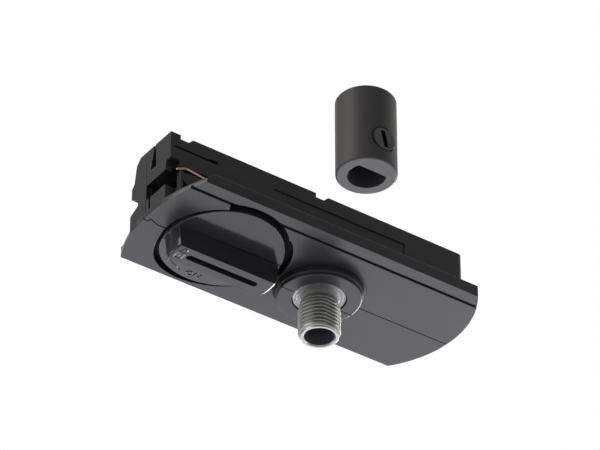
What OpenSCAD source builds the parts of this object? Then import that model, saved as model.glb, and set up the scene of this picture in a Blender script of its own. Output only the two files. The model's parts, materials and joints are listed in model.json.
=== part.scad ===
// Pendant adapter for a single-circuit lighting track.
// Two moulded half shells close on a turning lock knob, copper contacts, a terminal block and a
// threaded cable nipple. The cord grip that screws onto the nipple lies beside it, taken off.
// Z = 0 is the plane where the cover plate meets the track; +X runs along the track.

/* [Cover plate] */
// Straight length of the plate's long sides
plate_straight = 76.4; // [72:0.2:90]
// Reach of the plate on the key side, from the knob and nipple line
near_edge = 19.1; // [18.8:0.1:21]
// Reach of the plate on the plain side
far_edge = 16.3; // [15.8:0.1:19]
// Bow of the rounded right end
right_bow = 6.1; // [5.2:0.1:8]
// Bow of the rounded left end
left_bow = 4.0; // [3.6:0.1:6]
// Height of the plate from its underside to the track plane
plate_h = 3.0; // [2.6:0.1:4]
// Thickness of the plate's floor
floor_t = 1.3; // [1:0.1:1.6]
// Thickness of the lip along the edges
lip_t = 1.5; // [1:0.1:2.5]
// Length of the ramp at the left end of the key side's lip
lip_ramp = 2; // [0.5:0.1:4]
// Distance of the key groove from the centre line
groove_y = 15.35; // [14.5:0.05:16]
// Width of the key groove
groove_w = 0.8; // [0.4:0.1:1.2]
// Depth of the key groove
groove_d = 0.7; // [0.3:0.1:0.9]

/* [Track insert] */
// Left end of the insert
insert_left = 41.7; // [40.8:0.1:41.9]
// Right end of the insert
insert_right = 41.9; // [40.4:0.1:42.1]
// Height of the insert above the track plane
insert_h = 16.3; // [15.8:0.1:19]
// Side of the insert towards the key edge
near_face = 9.0; // [8.8:0.1:10]
// Side of the insert towards the plain edge
far_face = 8.6; // [8.4:0.1:9.6]
// Wall thickness of the half shells
wall = 1.5; // [1.2:0.1:1.8]
// Radius of the upright corners at the right end
corner_r = 1.2; // [0.8:0.1:3.5]
// Parting plane between the half shells
seam_y = 0.9; // [0.5:0.1:1.2]
// Open joint between the half shells
seam_gap = 0.2; // [0.1:0.05:0.3]
// Distance of the parting line's labyrinth step from the end face
seam_step = 0.95; // [0.7:0.05:1.3]
// Start of the slope to that step, behind the tongue
seam_ramp = 0.6; // [0.2:0.1:1]

/* [Stepped left end] */
// Length of the tongue in front of the insert's full section
tongue_l = 2.8; // [2:0.1:3.4]
// Half width of the tongue's foot on the key side
foot_near = 7.1; // [6.4:0.1:7.6]
// Half width of the tongue's foot on the plain side
foot_far = 7.3; // [7:0.1:8]
// Height of the foot on the plain side
foot_z = 1.5; // [0.8:0.1:2]
// Half width of the tongue's waist on the plain side
waist_y = 3.9; // [3.4:0.1:4.6]
// Lower end of the waist
waist_low = 3.1; // [2.6:0.1:3.4]
// Upper end of the waist
waist_high = 4.3; // [4:0.1:5]
// Half width of the tongue above the waist
head_y = 6.9; // [6.2:0.1:7.2]
// Height where the tongue is widest above the waist
head_z = 6.1; // [5.6:0.1:6.8]
// Height of the brow that steps the tongue in
brow_z = 9; // [8:0.1:9.6]
// Step of the brow
brow_step = 1; // [0.6:0.1:1.2]
// Half width of the tongue's crown
crown_y = 3.5; // [2.5:0.1:4]
// Bevel of the crown
crown_bevel = 1.6; // [1:0.1:2]
// Lower edge of the mouth in the end
mouth_low = 2.3; // [1.6:0.1:2.6]
// Upper edge of the mouth in the end
mouth_high = 6.4; // [5.6:0.1:7]
// Height of the shelf where the tongue takes the full width on the key side
shelf_z = 8.9; // [8.6:0.1:9.6]
// Depth of the wedge in the end face
wedge_d = 2; // [1:0.1:2.4]
// Lower edge of the wedge
wedge_z = 10; // [9.4:0.1:11]
// Width of the wedge at its lower edge
wedge_w = 2.3; // [1.4:0.1:2.6]
// Width of the wedge at the top edge
wedge_tip = 0.4; // [0.2:0.1:1]
// Middle of the wedge at the top edge
wedge_y = -2.4; // [-3:0.1:-1.8]
// Lean of the wedge towards the parting line
wedge_lean = 0.45; // [0:0.05:0.6]
// Middle of the upright slit under the mouth
foot_slit_y = -0.55; // [-1.5:0.05:-0.4]
// Width of the upright slit
foot_slit_w = 0.7; // [0.4:0.1:0.8]
// Depth of the upright slit
foot_slit_d = 0.8; // [0.4:0.1:1.4]
// Foot of the upright slit above the plate's floor
foot_slit_z = 1; // [0.6:0.1:2]

/* [Key side] */
// Left end of the side panel
panel_left = -12.9; // [-14:0.1:-8]
// Right end of the side panel
panel_right = 24.7; // [20:0.1:30]
// Top of the side panel
panel_top = 12.3; // [9:0.1:13]
// Depth of the side panel
panel_d = 0.3; // [0.2:0.1:0.9]
// Set-back of the fine slit from the left end
slit_in = 1.1; // [0.6:0.1:2]
// Height of the fine slit under the top edge
slit_z = 12.2; // [11.6:0.1:13.6]
// Width of the fine slit
slit_w = 0.5; // [0.3:0.1:0.8]
// Depth of the fine slit
slit_d = 0.6; // [0.3:0.1:1]
// Length of the fine slit
slit_l = 12; // [8:0.1:16]
// Length of the slit's deeper end
slit_deep_l = 2.4; // [1:0.1:4]
// Set-back of the small window behind the tongue
peep_x = 0.8; // [0.4:0.1:1.4]
// Foot of the small window above the track plane
peep_z = 1.4; // [0.8:0.1:1.8]
// Size of the small window
peep_l = 2.6; // [1.6:0.1:3]
// Depth of the notches in the top edge
notch_d = 1.2; // [0.6:0.1:1.4]
// Length of the notches' foot
notch_l = 2.2; // [1:0.1:3]
// Second notch along the track
notch_x = -0.9; // [-6:0.1:6]

/* [Lock knob] */
// Knob axis along the track
knob_x = -21.1; // [-21.5:0.1:-20.6]
// Radius of the knob's disc
knob_r = 14.5; // [14:0.1:14.7]
// Gap round the disc
knob_gap = 0.4; // [0.3:0.05:0.8]
// Widening of the gap towards the key side
key_widen = 2.3; // [1.6:0.1:2.5]
// Direction of that widening
key_dir = -112; // [-116:1:-100]
// Where that widening starts, as an angle about the knob axis
key_from = -118; // [-120:1:-114]
// Where that widening ends
key_to = -40; // [-48:1:-30]
// Widening of the gap at both ends of the grip bar
end_widen = 1.7; // [1.2:0.1:2]
// Direction of the widening at the left
left_dir = 163; // [155:1:170]
// Where the left widening starts
left_from = 72; // [62:1:74]
// Where the left widening ends
left_to = 166; // [160:1:170]
// Direction of the widening at the right
right_dir = 0; // [-6:1:6]
// Where the right widening starts
right_from = -46; // [-52:1:-42]
// Where the right widening ends
right_to = 40; // [30:1:50]
// Depth of the round pocket that takes the disc
pocket_d = 2.0; // [1.7:0.1:2.1]
// Sink of the disc's face below the plate's face
knob_sink = 0.1; // [0:0.05:0.4]
// Air above the disc
disc_air = 0.3; // [0.2:0.05:0.5]
// Width of the grip bar
grip_w = 5.9; // [4:0.1:8]
// Reach of the grip bar's ends from the axis
grip_r = 13.6; // [12:0.1:13.8]
// Draft of the grip bar's ends, over its height
grip_draft = 0.6; // [0.2:0.1:0.7]
// Fall of the disc's face from the grip bar to its rim on both sides
disc_fall = 1; // [0.2:0.1:1.4]
// Height of the grip bar
grip_h = 6.4; // [4.6:0.1:9]
// Rounding of the grip bar's ends
grip_edge = 0.9; // [0.3:0.1:1.4]
// Length of the coin slot
coin_l = 19.4; // [10:0.1:22]
// Width of the coin slot
coin_w = 1.7; // [1:0.1:2.5]
// Depth of the coin slot
coin_d = 4; // [1:0.1:4.4]
// Radius of the knob's shaft
shaft_r = 4; // [3.8:0.1:4.5]
// Running clearance of the shaft, on the radius
shaft_play = 0.05; // [0.02:0.01:0.1]
// Wall of the guide tube round the shaft
guide_t = 1.2; // [0.8:0.1:1.6]

/* [Locking bar] */
// Height of the bar's underside above the track plane
bar_z = 2.6; // [2.2:0.1:3]
// Thickness of the bar
bar_t = 2.4; // [1.5:0.1:2.6]
// Width of the bar
bar_w = 6.4; // [6:0.1:7]
// Reach of the bar's ends from the axis
bar_r = 12.3; // [11:0.1:13]
// Side of the square that drives the bar
drive_w = 5; // [4:0.1:5.2]
// Clearance of the bar in the wall slots
bar_air = 0.35; // [0.2:0.05:0.6]
// Thickness of the washer on the bar
bar_washer_t = 0.6; // [0.4:0.1:1]
// Radius of the washer on the bar
bar_washer_r = 4.3; // [3.6:0.1:5]
// Core radius of the bar's screw
bar_screw_r = 1.45; // [1:0.05:1.8]
// Head radius of the bar's screw
bar_head_r = 2.9; // [2.2:0.1:3.5]
// Head height of the bar's screw
bar_head_h = 1.7; // [1:0.1:2.2]

/* [Cable nipple] */
// Nipple axis along the track
nipple_x = 6.3; // [6:0.1:7.2]
// Outer radius of the nipple's thread
thread_r = 5; // [4.5:0.05:5.5]
// Radius of the cable bore
bore_r = 3.55; // [3:0.05:3.8]
// Length of the nipple below the boss
nipple_l = 10.7; // [8:0.1:16]
// Radius of the plain neck under the shoulder
neck_r = 4.3; // [4.2:0.05:4.8]
// Length of the plain neck
neck_l = 1.7; // [0.6:0.1:3]
// Chamfer at the free end of the thread
thread_chamfer = 0.5; // [0.2:0.1:0.6]
// Length of that chamfer along the thread
chamfer_l = 1.2; // [0.4:0.1:2]
// Chamfer at the mouth of the bore
mouth_chamfer = 0.3; // [0.1:0.1:0.4]
// Depth of the flat along the thread
flat_d = 0.25; // [0.1:0.05:0.4]
// Thread above the nut
thread_spare = 0.6; // [0.2:0.1:1]
// Radius of the shoulder seen in the boss
shoulder_r = 6.2; // [5.8:0.05:6.6]
// Gap between the shoulder and the boss
shoulder_gap = 0.25; // [0.1:0.05:0.5]
// Set-back of the shoulder from the boss face
shoulder_sink = 0.3; // [0:0.1:1]
// Radius of the boss
boss_r = 10.3; // [9.5:0.1:10.4]
// Height of the boss under the plate
boss_h = 3; // [2:0.1:5]
// Step of the boss near its face, on the radius
boss_step = 0.3; // [0.1:0.05:0.5]
// Height of that step above the boss face
boss_step_h = 0.9; // [0.6:0.1:1.2]
// Rounding of the boss edge
boss_edge = 0.35; // [0.1:0.05:0.5]
// Fillet at the foot of the boss
boss_fillet = 0.8; // [0.2:0.1:0.8]
// Thickness of the steel plate that carries the nipple
carrier_t = 1.5; // [1:0.1:2]
// Half length of the carrier plate
carrier_x = 8.2; // [7.4:0.1:9]
// Thickness of the lock washer
nut_washer_t = 0.8; // [0.5:0.1:1.2]
// Radius of the lock washer
nut_washer_r = 6.6; // [6:0.1:7]
// Width across flats of the nut
nut_af = 13; // [12:0.1:13.6]
// Height of the nut
nut_h = 3; // [2:0.1:3.2]
// Clearance of nut, washer and carrier on the thread, on the radius
thread_play = 0.04; // [0.02:0.01:0.1]

/* [Contacts] */
// Thickness of the copper strip
strip_t = 0.4; // [0.3:0.05:0.6]
// Height of the copper strip
strip_h = 0.6; // [0.5:0.1:1.2]
// Height of the strips above the track plane
strip_z = 6.6; // [6.3:0.1:7]
// Air above and below a strip in its wall slot
strip_air = 0.35; // [0.2:0.05:0.5]
// Stand-off of a contact's bulge from the insert's side
bulge = 0.4; // [0.1:0.1:0.8]
// Length of a contact's bulge
bulge_l = 5.2; // [4:0.1:6]
// Length over which the line contact rises to its bulge
line_rise = 9; // [4:0.1:12]
// Length over which the other contacts rise to their bulge
short_rise = 3.1; // [2.6:0.1:3.6]
// Set-back of a contact's sprung run from the insert's side
strip_in = 0.9; // [0.7:0.05:1]
// Air between a strip and the inside of the wall
lane_air = 0.65; // [0.4:0.05:0.8]
// Length over which a strip steps sideways
jog_l = 3; // [2:0.1:4]
// Start of the sprung run, from the knob axis
spring_x = 5; // [3:0.1:7]
// Bulge of the line contact, from the insert's left end
line_bulge_x = 4.35; // [3.6:0.05:6]
// Bulge of the neutral contact, from the insert's left end
neutral_bulge_x = 10.35; // [8:0.05:14]
// Distance of the earth contact's bulge from its terminal
earth_run = 8.6; // [8.2:0.1:9.6]

/* [Terminals] */
// Spacing of the terminals
terminal_pitch = 7; // [6.8:0.1:7.2]
// Length of a terminal along the track
terminal_l = 5.4; // [4.8:0.1:5.6]
// Depth of a terminal across the track
terminal_w = 8; // [7:0.1:8.4]
// Height of a terminal
terminal_h = 7.5; // [7.4:0.1:7.9]
// Side of the terminals that touches the line and earth strips
terminal_y = -4.5; // [-4.8:0.1:-4]
// Height of a terminal's screw above its foot
term_screw_z = 3; // [2.6:0.1:3.2]
// Radius of a terminal's wire hole
wire_r = 1.3; // [0.8:0.1:1.6]
// Distance of the wire hole from the strip side
wire_in = 2.2; // [1.8:0.1:2.6]
// Thickness of the terminal block's base
block_base = 2.2; // [1.8:0.1:2.5]
// Thickness of the block's partitions
partition_t = 1; // [0.8:0.1:1.2]
// Step of the block behind the strip side
block_step = 0.6; // [0.2:0.1:1]
// Gap between the block and the end wall
block_gap = 0.3; // [0.1:0.1:0.6]
// Core radius of a terminal screw
term_screw_r = 1.5; // [1:0.05:1.8]
// Head radius of a terminal screw
term_head_r = 2.2; // [1.9:0.1:2.4]
// Head height of a terminal screw
term_head_h = 1.6; // [1:0.1:2]
// Length of a terminal screw under its head
term_screw_l = 5; // [4:0.1:5.6]

/* [Shell screws] */
// Core radius of the shell screws
shell_screw_r = 1.1; // [0.8:0.05:1.3]
// Head radius of the shell screws
shell_head_r = 2.1; // [1.8:0.05:2.2]
// Head height of the shell screws
shell_head_h = 1.4; // [1:0.1:1.8]
// Length of the shell screws under the head
shell_screw_l = 9; // [7:0.1:10]
// Radius of the screw posts in the shells
post_r = 2.6; // [2.5:0.1:2.8]
// Air between the posts and the terminals
post_air = 1; // [0.4:0.1:1.2]
// Post next to the left end
post_left = 7.8; // [7.4:0.1:9]
// Post next to the right end
post_right = 4.5; // [4.2:0.1:6]
// Posts beside the nipple, from its axis
post_beside = 9; // [8:0.1:11]
// Clearance of screws and seats, on the radius
screw_play = 0.04; // [0.02:0.01:0.1]
// Free depth beyond a screw's tip
tip_air = 0.4; // [0.2:0.1:0.8]
// Slot width in the screw heads
driver_w = 0.7; // [0.5:0.05:0.9]
// Slot depth in the screw heads
driver_d = 0.7; // [0.4:0.05:0.9]

/* [Cord grip] */
// Cord grip axis along the track
grip_x = -11.3; // [-30:0.1:20]
// Cord grip axis across the track
grip_y = -42.6; // [-60:0.1:-32]
// Lower end of the cord grip
grip_low = -4.1; // [-20:0.1:10]
// Outer radius of the cord grip
collar_r = 7; // [6.6:0.05:8]
// Height of the cord grip
collar_h = 20.7; // [19:0.1:26]
// Edge break of the cord grip
collar_edge = 0.4; // [0.1:0.1:0.8]
// Radius of the cord hole
cord_r = 4.35; // [4:0.05:4.6]
// Distance of the cord hole's flat from the axis
cord_flat = 2.27; // [1.8:0.01:2.6]
// Depth of the nipple thread in the grip
grip_thread_l = 9; // [6:0.1:9.4]
// Clearance of the grip's thread over the nipple, on the radius
grip_play = 0.1; // [0.05:0.01:0.2]
// Height of the clamp screw above the grip's lower end
clamp_z = 6.2; // [4.6:0.1:7.4]
// Radius of the clamp screw
clamp_r = 3.15; // [2.8:0.05:3.3]
// Edge break of the clamp screw's face
clamp_edge = 0.3; // [0.1:0.05:0.4]
// Running clearance of the clamp screw, on the radius
clamp_play = 0.05; // [0.02:0.01:0.1]
// Set-back of the clamp screw's face in the grip
clamp_sink = 0.35; // [0:0.05:0.8]
// Turn of the clamp screw's slot from upright
clamp_turn = 13; // [0:1:90]
// Slot length of the clamp screw
clamp_slot_l = 4.4; // [3:0.1:5]
// Slot width of the clamp screw
clamp_slot_w = 1.1; // [0.8:0.1:1.6]
// Slot depth of the clamp screw
clamp_slot_d = 1.3; // [0.6:0.1:1.8]
// Set-back of the clamp screw's tip from the cord hole's flat
clamp_tip = 0.3; // [0.1:0.1:0.8]

/* [Hidden] */
$fn = 64;
eps = 0.5;
reach = 70;
plate_w = near_edge + far_edge;
mid_y = (far_edge - near_edge) / 2;
right_r = (pow(plate_w / 2, 2) + pow(right_bow, 2)) / (2 * right_bow);
left_r = (pow(plate_w / 2, 2) + pow(left_bow, 2)) / (2 * left_bow);
right_centre = plate_straight / 2 + right_bow - right_r;
left_centre = left_r - left_bow - plate_straight / 2;
floor_z = floor_t - plate_h;
left_x = -insert_left;
tongue_x = left_x + tongue_l;
pocket_r = knob_r + knob_gap;
disc_z = knob_sink - plate_h;
disc_top = pocket_d - plate_h - disc_air;
bar_top = bar_z + bar_t;
bar_low = bar_z - bar_air;
washer_top = bar_top + bar_washer_t;
boss_face = -plate_h - boss_h;
shoulder_face = boss_face + shoulder_sink;
nipple_end = boss_face - nipple_l;
carrier_top = floor_z + carrier_t;
nut_z = carrier_top + nut_washer_t;
nipple_top = nut_z + nut_h + thread_spare;
near_lane = near_face - wall - lane_air - strip_t / 2;
far_lane = far_face - wall - lane_air - strip_t / 2;
terminal_x = insert_right - wall - block_gap - partition_t / 2 - 2.5 * terminal_pitch;
terminal_z = floor_z + block_base;
earth_x = terminal_x + 2 * terminal_pitch - earth_run;
window_end = knob_x + spring_x + jog_l * 0.75;
head_seat = far_face - shell_head_h;
post_z = terminal_z + terminal_h + post_air + post_r;
post_xs = [left_x + post_left, nipple_x - post_beside, nipple_x + post_beside, insert_right - post_right];

// Points of an arc, from angle a to angle b
function arc(x, y, r, a, b, steps = 6) =
  [for (i = [0:steps]) let (t = a + (b - a) * i / steps) [x + r * cos(t), y + r * sin(t)]];

// Unit vector at an angle
function ray(a) = [cos(a), sin(a)];

// Direction of a path at one of its points
function heading(path, i) =
  let (p = path[max(i - 1, 0)], q = path[min(i + 1, len(path) - 1)], d = q - p) d / norm(d);

// Outline of a bent strip of thickness t that follows a path
function strip_outline(path, t) = concat(
  [for (i = [0:len(path) - 1]) let (h = heading(path, i)) path[i] + [-h[1], h[0]] * t / 2],
  [for (i = [len(path) - 1:-1:0]) let (h = heading(path, i)) path[i] - [-h[1], h[0]] * t / 2]
);

// Sprung end of a contact: it rises from its run to the crest and drops back
function bulge_path(x, rise, run, crest) = [
  [x + rise, run], [x + bulge_l * 0.1, crest], [x - bulge_l * 0.1, crest], [x - bulge_l * 0.4, run]
];

// Parting line between the shells, with the small labyrinth step at the left end
function seam_line(shift) = [
  [reach, seam_y + shift],
  [tongue_x + seam_ramp, seam_y + shift],
  [left_x + seam_step + shift, shift],
  [left_x + seam_step + shift, seam_y + shift],
  [-reach, seam_y + shift]
];

module upright(z0, z1) {
  translate([0, 0, z0]) linear_extrude(z1 - z0) children();
}

// A section drawn across the track, with its X as the depth and its Y as the height
module along_track(x0, x1) {
  translate([x0, 0, 0]) rotate([90, 0, 90]) linear_extrude(x1 - x0) children();
}

// A side view of the insert, cut or raised from y0 to y1
module across_track(y0, y1) {
  translate([0, y1, 0]) rotate([90, 0, 0]) linear_extrude(y1 - y0) children();
}

module box(low, high) {
  translate(low) cube(high - low);
}

module near_half() {
  upright(-reach, reach) polygon(concat([[-reach, -reach], [reach, -reach]], seam_line(-seam_gap / 2)));
}

module far_half() {
  upright(-reach, reach) polygon(concat([[-reach, reach], [reach, reach]], seam_line(seam_gap / 2)));
}

module plate_outline() {
  straight = plate_straight / 2 - lip_t;
  intersection() {
    translate([-reach, -near_edge]) square([2 * reach, plate_w]);
    union() {
      translate([right_centre, mid_y]) circle(right_r);
      translate([-reach, -near_edge]) square([reach + straight, plate_w]);
    }
    union() {
      translate([left_centre, mid_y]) circle(left_r);
      translate([-straight, -near_edge]) square([reach + straight, plate_w]);
    }
  }
}

module edge_lips() {
  intersection() {
    plate_outline();
    union() {
      translate([-plate_straight / 2, -near_edge]) square([2 * reach, lip_t]);
      translate([-plate_straight / 2, far_edge - lip_t]) square([2 * reach, lip_t]);
      difference() {
        translate([0, -near_edge]) square([reach, plate_w]);
        translate([right_centre, mid_y]) circle(right_r - lip_t);
      }
    }
  }
}

// Plan of the insert behind the stepped tongue, with rounded corners at the right end
module insert_plan(shrink) {
  x0 = tongue_x + shrink;
  x1 = insert_right - shrink;
  y0 = shrink - near_face;
  y1 = far_face - shrink;
  r = max(corner_r - shrink, 0.4);
  translate([x0, y0]) square([x1 - r - x0, y1 - y0]);
  translate([x0, y0 + r]) square([x1 - x0, y1 - y0 - 2 * r]);
  translate([x1 - r, y0 + r]) circle(r);
  translate([x1 - r, y1 - r]) circle(r);
}

// End view of the tongue: foot, waist, head and bevelled crown
module tongue_section() {
  polygon([
    [-foot_near, -plate_h], [foot_far, -plate_h], [foot_far, foot_z],
    [waist_y, waist_low], [waist_y, waist_high],
    [head_y, head_z], [head_y, brow_z], [head_y - brow_step, brow_z + brow_step],
    [crown_y + crown_bevel, insert_h - crown_bevel], [crown_y, insert_h],
    [-near_face, insert_h], [-near_face, shelf_z], [-foot_near, shelf_z]
  ]);
}

module boss() {
  foot = boss_r + boss_fillet;
  translate([nipple_x, 0, 0]) rotate_extrude() polygon(concat(
    [[0, floor_z], [foot, floor_z], [foot, -plate_h]],
    arc(foot, -plate_h - boss_fillet, boss_fillet, 90, 180),
    arc(boss_r - boss_step, boss_face + boss_step_h + boss_step, boss_step, 0, -90),
    arc(boss_r - boss_step - boss_edge, boss_face + boss_edge, boss_edge, 0, -90),
    [[0, boss_face]]
  ));
}

// Closed outer form of the two shells together
module shell_form() {
  upright(-plate_h, floor_z) plate_outline();
  upright(-plate_h, 0) edge_lips();
  upright(-plate_h, 0) intersection() {
    plate_outline();
    translate([knob_x, 0]) knob_backing();
  }
  upright(-plate_h, insert_h) insert_plan(0);
  along_track(left_x, tongue_x) tongue_section();
  boss();
}

// Room inside the shells, round the pocket's roof, the shaft guide, the ribs and the screw posts
module shell_hollow() {
  difference() {
    upright(floor_z, insert_h - wall) insert_plan(wall);
    translate([knob_x, 0]) upright(-reach, 0) knob_backing();
    translate([knob_x, 0, -plate_h]) cylinder(r = shaft_r + shaft_play + guide_t, h = plate_h + bar_low);
    for (side = [-1, 1]) {
      x = nipple_x + side * (carrier_x + screw_play + wall / 2);
      box([x - wall / 2, -reach, -plate_h], [x + wall / 2, reach, carrier_top]);
    }
    for (x = post_xs) {
      translate([x, 0, post_z]) rotate([90, 0, 0]) cylinder(r = post_r, h = 2 * reach, center = true);
    }
  }
}

// Sector of the plane between two angles
module sector(a, b) {
  polygon([[0, 0], reach * ray(a), reach * ray((a + b) / 2), reach * ray(b)]);
}

// Opening for the knob's disc, wider towards the key side and at the ends of the grip bar
module knob_opening() {
  circle(pocket_r);
  intersection() {
    translate(key_widen * ray(key_dir)) circle(pocket_r);
    sector(key_from, key_to);
  }
  intersection() {
    translate(end_widen * ray(left_dir)) circle(pocket_r);
    sector(left_from, left_to);
  }
  intersection() {
    translate(end_widen * ray(right_dir)) circle(pocket_r);
    sector(right_from, right_to);
  }
}

// The same opening with the shell's wall round it
module knob_backing() {
  circle(pocket_r + wall);
  translate(key_widen * ray(key_dir)) circle(pocket_r + wall);
  translate(end_widen * ray(left_dir)) circle(pocket_r + wall);
  translate(end_widen * ray(right_dir)) circle(pocket_r + wall);
}

module knob_pocket() {
  translate([knob_x, 0]) upright(-plate_h - eps, pocket_d - plate_h) knob_opening();
  translate([knob_x, 0, -plate_h]) cylinder(r = shaft_r + shaft_play, h = plate_h + bar_z);
}

module nipple_seat() {
  translate([nipple_x, 0, boss_face - eps]) {
    cylinder(r = shoulder_r + shoulder_gap, h = floor_z - boss_face + 2 * eps);
  }
}

// Slots that let the locking bar swing out of the insert, one in each side
module bar_slots() {
  side_x = sqrt(pow(bar_r, 2) - pow(min(near_face, far_face) - wall, 2)) + bar_air;
  high = bar_top + bar_air;
  half = bar_w / 2 + bar_air;
  box([knob_x - half, -reach, bar_low], [knob_x + side_x, 0, high]);
  box([knob_x - side_x, 0, bar_low], [knob_x + half, reach, high]);
}

// Window for a contact strip, through a side wall
module strip_window(x0, x1, y0, y1) {
  box([x0, y0, strip_z - strip_air], [x1, y1, strip_z + strip_h + strip_air]);
}

module shell_screw_holes() {
  for (x = post_xs) {
    translate([x, head_seat, post_z]) rotate([-90, 0, 0]) {
      cylinder(r = shell_head_r + screw_play, h = reach);
      translate([0, 0, -shell_screw_l - tip_air]) cylinder(r = shell_screw_r + screw_play, h = reach);
    }
  }
}

module key_groove() {
  half = groove_w / 2;
  box([-reach, -groove_y - half, -reach], [reach, half - groove_y, groove_d - plate_h]);
}

// Notch in the top edge with one steep and one sloping side
module top_notch(x) {
  foot = insert_h - notch_d;
  slope = notch_d + eps;
  polygon([[x, insert_h + eps], [x, foot], [x + notch_l, foot], [x + notch_l + slope, foot + slope]]);
}

// Cuts that the key side of the insert and its left end show
module near_cuts() {
  side = -near_face;
  through = side + wall + eps;
  strip_window(left_x + line_bulge_x - bulge_l / 2, window_end, side - eps, through);
  strip_window(earth_x - bulge_l / 2, earth_x + bulge_l * 0.9, side - eps, through);
  // Ramp at the left end of the lip
  lip_x = -plate_straight / 2;
  across_track(-reach, lip_t + eps - near_edge) {
    polygon([[lip_x - eps, floor_z], [lip_x, floor_z], [lip_x + lip_ramp, 0], [lip_x - eps, eps]]);
  }
  // Horizontal mouth at the left end, open round the corner and into the hollow
  box([-reach, -reach, mouth_low], [tongue_x, seam_y - seam_gap, mouth_high]);
  box([-reach, wall - near_face, mouth_low], [tongue_x + wall + eps, seam_y - seam_gap, mouth_high]);
  // Fine slit under the top edge, with its deeper end
  slit_x = left_x + slit_in;
  deep_x = slit_x + slit_l - slit_deep_l;
  box([slit_x, side - eps, slit_z], [slit_x + slit_l, side + slit_d, slit_z + slit_w]);
  box([deep_x, side - eps, slit_z], [slit_x + slit_l, side + 2 * slit_d, slit_z + 1.5 * slit_w]);
  // Small window just above the plate
  across_track(side - eps, through) {
    translate([tongue_x + peep_x, peep_z]) polygon([[0, 0], [peep_l, 0], [0, peep_l]]);
  }
  box([panel_left, side - eps, 0], [panel_right, side + panel_d, panel_top]);
  across_track(side - eps, side + 2 * wall) {
    top_notch(tongue_x);
    top_notch(notch_x);
  }
  // Wedge and slit in the end face
  low_y = wedge_y + wedge_lean;
  along_track(-reach, left_x + wedge_d) polygon([
    [wedge_y - wedge_tip / 2, insert_h], [wedge_y + wedge_tip / 2, insert_h],
    [low_y + wedge_w / 2, wedge_z], [low_y - wedge_w / 2, wedge_z]
  ]);
  slit_y = [foot_slit_y - foot_slit_w / 2, foot_slit_y + foot_slit_w / 2];
  box([-reach, slit_y[0], floor_z + foot_slit_z], [left_x + foot_slit_d, slit_y[1], mouth_low]);
}

module near_shell() {
  color("#3b3b3e") intersection() {
    near_half();
    difference() {
      shell_form();
      shell_hollow();
      knob_pocket();
      nipple_seat();
      bar_slots();
      key_groove();
      shell_screw_holes();
      near_cuts();
    }
  }
}

module far_shell() {
  color("#404043") intersection() {
    far_half();
    difference() {
      shell_form();
      shell_hollow();
      knob_pocket();
      nipple_seat();
      bar_slots();
      shell_screw_holes();
      window_start = left_x + neutral_bulge_x - bulge_l / 2;
      strip_window(window_start, window_end, far_face - wall - eps, far_face + eps);
    }
  }
}

// Grip bar: a slice of a turned form, so that its ends follow the disc and are rounded
module grip_bar() {
  low = disc_z - grip_h;
  intersection() {
    rotate_extrude() polygon(concat(
      [[0, disc_z + eps], [grip_r + grip_draft, disc_z + eps], [grip_r + grip_draft, disc_z]],
      arc(grip_r - grip_edge, low + grip_edge, grip_edge, 0, -90),
      [[0, low]]
    ));
    box([-reach, -grip_w / 2, -reach], [reach, grip_w / 2, reach]);
  }
}

// Disc whose face falls away on both sides of the grip bar
module knob_disc() {
  ridge_z = disc_z - disc_fall;
  intersection() {
    translate([0, 0, ridge_z]) cylinder(r = knob_r, h = disc_top - ridge_z);
    along_track(-reach, reach) polygon([
      [-knob_r, disc_top], [-knob_r, disc_z], [-grip_w / 2, ridge_z],
      [grip_w / 2, ridge_z], [knob_r, disc_z], [knob_r, disc_top]
    ]);
  }
}

module lock_knob() {
  slot_low = disc_z - grip_h;
  color("#46464a") translate([knob_x, 0, 0]) difference() {
    union() {
      knob_disc();
      translate([0, 0, disc_z]) cylinder(r = shaft_r, h = bar_z - disc_z);
      grip_bar();
      upright(bar_z - eps, bar_top) square(drive_w, center = true);
    }
    // Coin slot with round ends in the grip bar
    upright(slot_low - eps, slot_low + coin_d) {
      square([coin_l - coin_w, coin_w], center = true);
      for (side = [-1, 1]) translate([side * (coin_l - coin_w) / 2, 0]) circle(coin_w / 2);
    }
    translate([0, 0, disc_top]) cylinder(r = bar_screw_r + screw_play, h = reach);
  }
}

module locking_bar() {
  color("#9a9da1") translate([knob_x, 0, 0]) upright(bar_z, bar_top) difference() {
    intersection() {
      circle(bar_r);
      square([2 * reach, bar_w], center = true);
    }
    square(drive_w + 2 * screw_play, center = true);
  }
}

module bar_washer() {
  color("#b4b7ba") translate([knob_x, 0, bar_top]) difference() {
    cylinder(r = bar_washer_r, h = bar_washer_t);
    translate([0, 0, -eps]) cylinder(r = bar_screw_r + screw_play, h = bar_washer_t + 2 * eps);
  }
}

// A slotted screw that stands on its core, head up, with the seat of its head at zero
module slotted_screw(core_r, core_l, head_r, head_h) {
  translate([0, 0, -core_l]) cylinder(r = core_r, h = core_l + head_h - driver_d);
  difference() {
    cylinder(r = head_r, h = head_h);
    translate([-reach, -driver_w / 2, head_h - driver_d]) cube([2 * reach, driver_w, reach]);
  }
}

module bar_screw() {
  length = washer_top - disc_top - tip_air;
  color("#a9acb0") translate([knob_x, 0, washer_top]) {
    slotted_screw(bar_screw_r, length, bar_head_r, bar_head_h);
  }
}

module copper_strip(path) {
  color("#b87545") upright(strip_z, strip_z + strip_h) polygon(strip_outline(path, strip_t));
}

module line_contact() {
  back = terminal_y - strip_t / 2;
  run = strip_in - near_face;
  copper_strip(concat(
    [[terminal_x + terminal_l / 2, back], [terminal_x - terminal_l / 2, back]],
    [[terminal_x - terminal_l / 2 - jog_l, -near_lane]],
    [[knob_x + spring_x + jog_l, -near_lane], [knob_x + spring_x, run]],
    bulge_path(left_x + line_bulge_x, line_rise, run, strip_t / 2 - bulge - near_face)
  ));
}

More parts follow.
